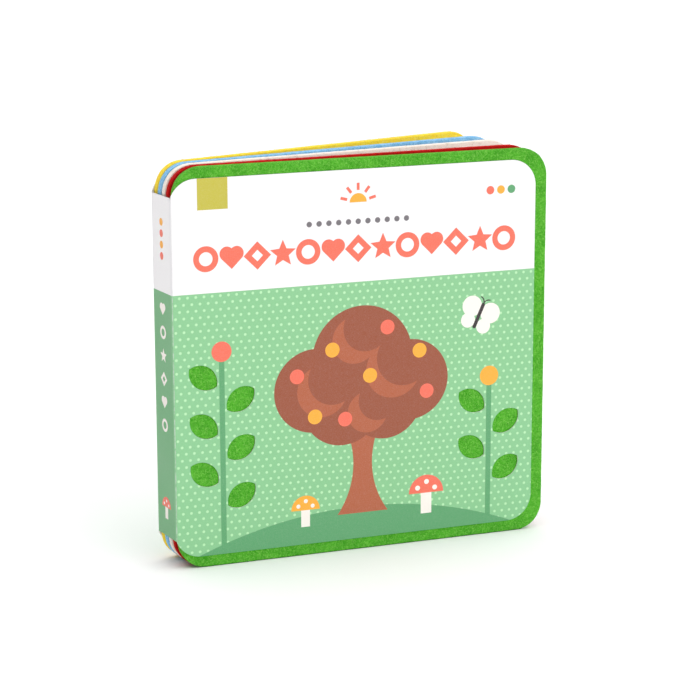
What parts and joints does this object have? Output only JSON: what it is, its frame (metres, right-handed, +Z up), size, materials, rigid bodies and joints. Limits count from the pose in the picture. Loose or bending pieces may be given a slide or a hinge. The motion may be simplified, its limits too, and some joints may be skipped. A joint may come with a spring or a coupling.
{
  "type": "felt book",
  "caption": "Square book with thick felt leaves of several colours between printed card, in a card cover with die-cut leaf shapes, standing fanned open.",
  "frame": {"origin": "middle of the middle leaf, half way from the spine to the fore edge, on the plane that the leaves stand on", "axes": "+X from the spine to the fore edge along the middle leaf, +Y from the front cover to the back cover, +Z up from the foot to the head"},
  "size_m": [0.1782, 0.069, 0.18],
  "materials": {
    "green_felt": "matte",
    "red_felt": "matte",
    "white_felt": "matte",
    "blue_felt": "matte",
    "yellow_felt": "matte",
    "card": "satin",
    "ink_ground_green": "satin",
    "ink_leaf_green": "satin",
    "ink_brown": "satin",
    "ink_light_brown": "satin",
    "ink_coral": "satin",
    "ink_orange": "satin",
    "ink_cream": "satin",
    "ink_black": "satin",
    "ink_olive": "satin",
    "ink_grey": "satin",
    "ink_spine_green": "satin"
  },
  "bodies": {
    "block": {"red_felt_leaf": "red_felt", "white_felt_leaf": "white_felt", "blue_felt_leaf": "blue_felt", "spine_card": "card", "second_leaf_page": "card", "front_inner_sheet": "card", "back_inner_sheet": "card", "fourth_leaf_page": "card", "spine_print_ground": "ink_spine_green", "spine_print_white": "ink_cream", "spine_print_coral": "ink_coral", "spine_print_orange": "ink_orange"},
    "front_cover": {"green_felt_leaf": "green_felt", "front_cover_card": "card", "front_cover_page": "card", "front_print_ground": "ink_ground_green", "front_print_leaf_green": "ink_leaf_green", "front_print_brown": "ink_brown", "front_print_light_brown": "ink_light_brown", "front_print_coral": "ink_coral", "front_print_orange": "ink_orange", "front_print_cream": "ink_cream", "front_print_black": "ink_black", "front_print_olive": "ink_olive", "front_print_grey": "ink_grey"},
    "back_cover": {"yellow_felt_leaf": "yellow_felt", "back_cover_card": "card", "back_cover_page": "card", "back_print_ground": "ink_ground_green"}
  },
  "joints": [
    {"name": "front_cover_hinge", "type": "hinge", "parent": "block", "child": "front_cover", "pos_m": [-0.08905, -0.01015, 0.09], "axis": [0, 0, -1], "range_deg": [-2.5, 172.5]},
    {"name": "back_cover_hinge", "type": "hinge", "parent": "block", "child": "back_cover", "pos_m": [-0.08905, 0.01015, 0.09], "axis": [0, 0, 1], "range_deg": [-5, 171.5]}
  ]
}
